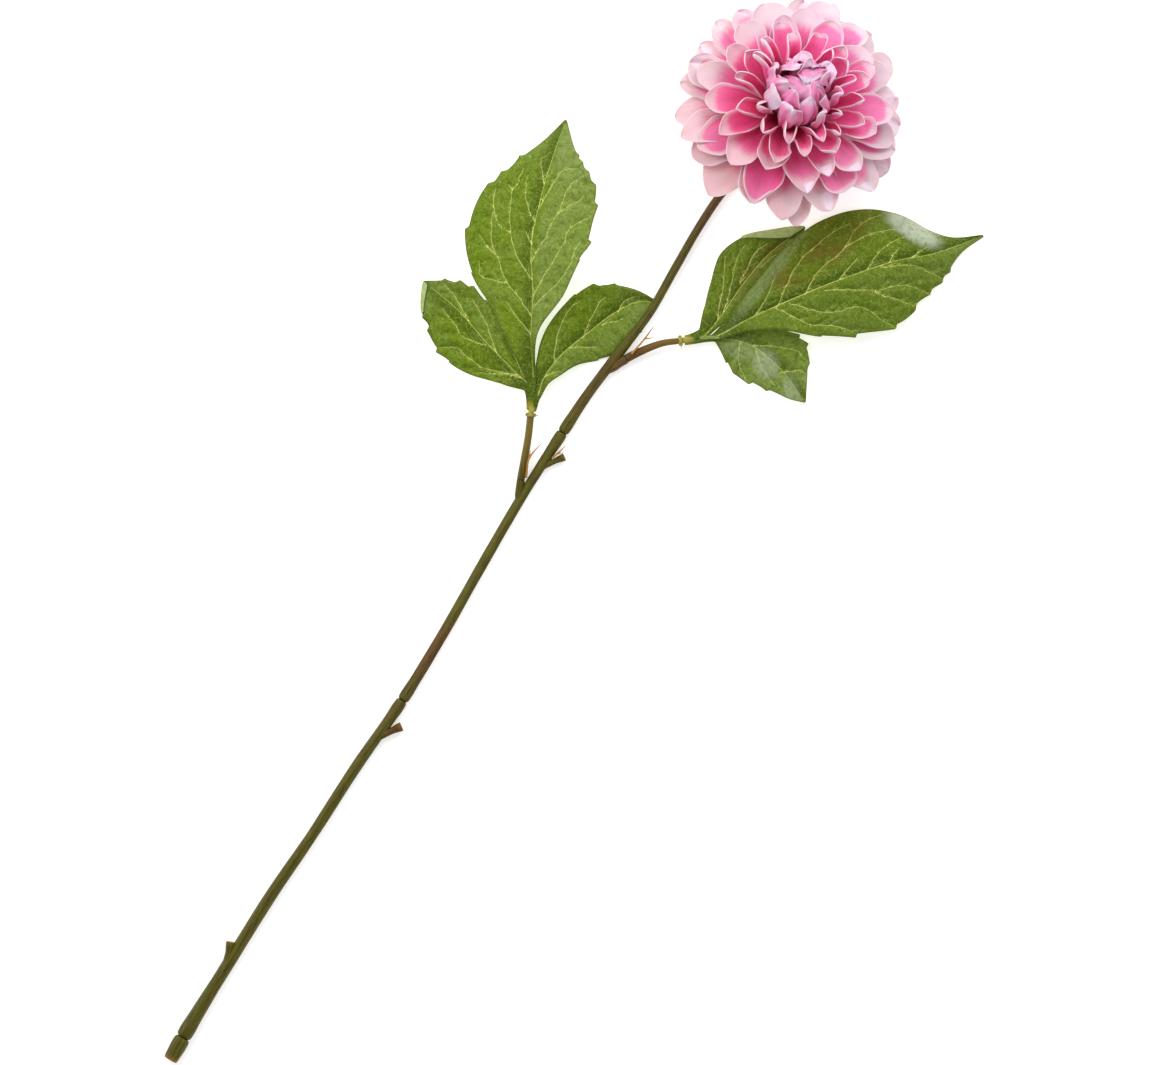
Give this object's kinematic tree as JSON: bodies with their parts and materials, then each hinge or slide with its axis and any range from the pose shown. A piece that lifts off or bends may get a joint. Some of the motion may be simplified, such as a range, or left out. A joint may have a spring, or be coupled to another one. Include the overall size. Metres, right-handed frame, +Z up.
{
  "type": "artificial dahlia flower",
  "caption": "Single fabric dahlia with a double pink head, two leaf sprays and a long moulded stem, lying on a flat surface.",
  "frame": {"origin": "centre of the bounding box's base, on the surface that the flower lies on", "axes": "+Y along the stem from its cut end to the head, +Z up from the surface, +X to the right of the stem"},
  "size_m": [0.2253, 0.6223, 0.0685],
  "materials": {
    "stem_plastic": "satin",
    "stalk_plastic": "satin",
    "collar_plastic": "satin",
    "fork_plastic": "satin",
    "shoot_plastic": "satin",
    "calyx_plastic": "satin",
    "post_plastic": "satin",
    "leaf_fabric": "satin",
    "outer_petal_fabric": "matte",
    "petal_fabric": "matte",
    "bud_fabric": "matte"
  },
  "bodies": {
    "root": {"stem_tip": "stem_plastic", "stem_lower": "stem_plastic", "stem_middle": "stem_plastic", "stem_upper": "stem_plastic", "stalk_left": "stalk_plastic", "stalk_right": "stalk_plastic", "collar_left": "collar_plastic", "collar_right": "collar_plastic", "leaf_fork_left": "fork_plastic", "leaf_fork_right": "fork_plastic", "leaflet_left_large": "leaf_fabric", "leaflet_left_lower": "leaf_fabric", "leaflet_left_inner": "leaf_fabric", "leaflet_right_large": "leaf_fabric", "leaflet_right_upper": "leaf_fabric", "leaflet_right_lower": "leaf_fabric", "shoot_left": "shoot_plastic", "shoot_right": "shoot_plastic", "shoot_middle": "shoot_plastic", "calyx": "calyx_plastic", "bract_disc": "calyx_plastic", "post": "post_plastic", "petal_disc_1": "outer_petal_fabric", "petal_disc_2": "outer_petal_fabric", "petal_disc_3": "outer_petal_fabric", "petal_disc_4": "petal_fabric", "petal_disc_5": "petal_fabric", "petal_disc_6": "petal_fabric", "petal_disc_7": "petal_fabric", "petal_disc_8": "petal_fabric", "petal_disc_9": "petal_fabric", "bud_disc_outer": "bud_fabric", "bud_disc_middle": "bud_fabric", "bud_disc_inner": "bud_fabric", "bud_centre": "bud_fabric"}
  },
  "joints": []
}
